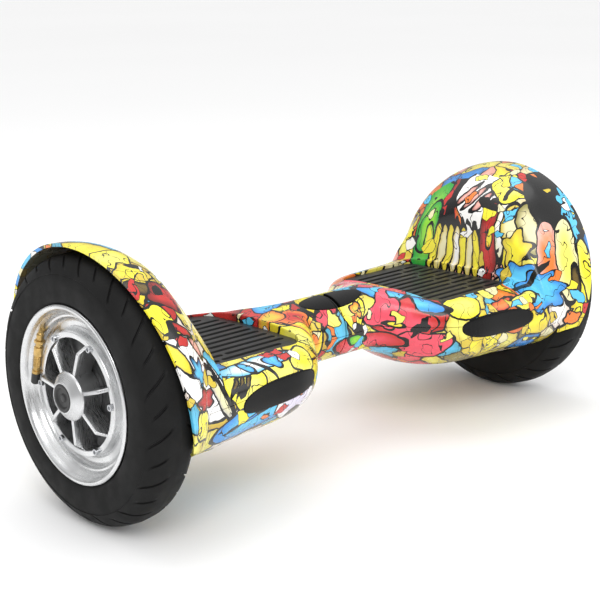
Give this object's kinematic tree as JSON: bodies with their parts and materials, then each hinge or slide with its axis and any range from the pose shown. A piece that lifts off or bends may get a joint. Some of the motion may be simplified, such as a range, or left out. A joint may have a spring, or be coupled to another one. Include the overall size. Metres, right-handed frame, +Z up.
{
  "type": "self balancing hoverboard",
  "caption": "Two-wheel self balancing board: two twisting halves with foot pads, lamps and pneumatic hub-motor wheels under round fenders.",
  "frame": {"origin": "on the ground plane under the middle of the board, midway between the two wheels", "axes": "+Z up; X runs along the wheels' common axle, +X towards the rider's left; the lamps face -Y, which is forward"},
  "size_m": [0.6516, 0.2714, 0.2655],
  "materials": {
    "printed_shell": "glossy printed film over moulded plastic",
    "cast_frame": "sand cast",
    "steel": "turned",
    "dark_steel": "blackened",
    "machined_rim": "bright machined",
    "tyre_rubber": "matt moulded",
    "tube_rubber": "smooth",
    "valve_brass": "turned",
    "black_plastic": "fine textured",
    "motor_paint": "satin black",
    "winding_copper": "enamelled winding",
    "mat_rubber": "moulded, ribbed",
    "circuit_board": "lacquered",
    "lamp_board": "lacquered",
    "smoked_lens": "polished, smoked",
    "nylon": "moulded",
    "battery_wrap": "shrink wrap",
    "cap_rubber": "moulded",
    "harness_sleeve": "sleeved cable"
  },
  "bodies": {
    "right_half": {"right_top_shell": "printed_shell", "right_bottom_shell": "printed_shell", "right_chassis": "cast_frame", "right_axle": "steel", "right_axle_clamp": "cast_frame", "right_clamp_screws": "dark_steel", "right_stator": "winding_copper", "right_sensor_board": "circuit_board", "right_headlight_lens": "smoked_lens", "right_led_board": "lamp_board", "right_indicator_window": "smoked_lens", "right_shell_screws": "dark_steel", "pivot_tube": "steel", "battery_pack": "battery_wrap", "charge_socket": "black_plastic", "harness": "harness_sleeve"},
    "left_half": {"left_top_shell": "printed_shell", "left_bottom_shell": "printed_shell", "left_chassis": "cast_frame", "left_axle": "steel", "left_axle_clamp": "cast_frame", "left_clamp_screws": "dark_steel", "left_stator": "winding_copper", "left_sensor_board": "circuit_board", "left_headlight_lens": "smoked_lens", "left_led_board": "lamp_board", "left_indicator_window": "smoked_lens", "left_shell_screws": "dark_steel", "pivot_bushes": "nylon", "main_board": "circuit_board"},
    "right_wheel": {"right_rim": "machined_rim", "right_motor_housing": "motor_paint", "right_motor_cover": "motor_paint", "right_wheel_bolts": "steel", "right_tyre": "tyre_rubber", "right_inner_tube": "tube_rubber", "right_valve_stem": "valve_brass", "right_valve_cap": "black_plastic", "right_magnet_ring": "dark_steel", "right_wheel_bearings": "steel", "right_hub_cap": "black_plastic"},
    "left_wheel": {"left_rim": "machined_rim", "left_motor_housing": "motor_paint", "left_motor_cover": "motor_paint", "left_wheel_bolts": "steel", "left_tyre": "tyre_rubber", "left_inner_tube": "tube_rubber", "left_valve_stem": "valve_brass", "left_valve_cap": "black_plastic", "left_magnet_ring": "dark_steel", "left_wheel_bearings": "steel", "left_hub_cap": "black_plastic"},
    "right_pedal": {"right_foot_mat": "mat_rubber", "right_pedal_plate": "black_plastic", "right_plungers": "mat_rubber"},
    "left_pedal": {"left_foot_mat": "mat_rubber", "left_pedal_plate": "black_plastic", "left_plungers": "mat_rubber"},
    "power_button": {"power_button": "steel"},
    "charge_cap": {"charge_cap": "cap_rubber"}
  },
  "joints": [
    {"name": "half_twist", "type": "hinge", "parent": "right_half", "child": "left_half", "pos_m": [0, 0, 0.1275], "axis": [1, 0, 0], "range_deg": [-12, 12]},
    {"name": "right_wheel_spin", "type": "hinge", "parent": "right_half", "child": "right_wheel", "pos_m": [-0.29, 0, 0.1275], "axis": [1, 0, 0], "continuous": true},
    {"name": "left_wheel_spin", "type": "hinge", "parent": "left_half", "child": "left_wheel", "pos_m": [0.29, 0, 0.1275], "axis": [1, 0, 0], "continuous": true},
    {"name": "right_pedal_press", "type": "slide", "parent": "right_half", "child": "right_pedal", "axis": [0, 0, -1], "range_m": [0, 0.0016], "stiffness_N_per_m": 8000, "springref_m": -0.001},
    {"name": "left_pedal_press", "type": "slide", "parent": "left_half", "child": "left_pedal", "axis": [0, 0, -1], "range_m": [0, 0.0016], "stiffness_N_per_m": 8000, "springref_m": -0.001},
    {"name": "power_button_press", "type": "slide", "parent": "left_half", "child": "power_button", "axis": [0, -1, 0], "range_m": [0, 0.0012], "stiffness_N_per_m": 500, "springref_m": -0.0008},
    {"name": "charge_cap_hinge", "type": "hinge", "parent": "right_half", "child": "charge_cap", "pos_m": [-0.158, 0.115, 0.133], "axis": [1, 0, 0], "range_deg": [0, 130]}
  ]
}
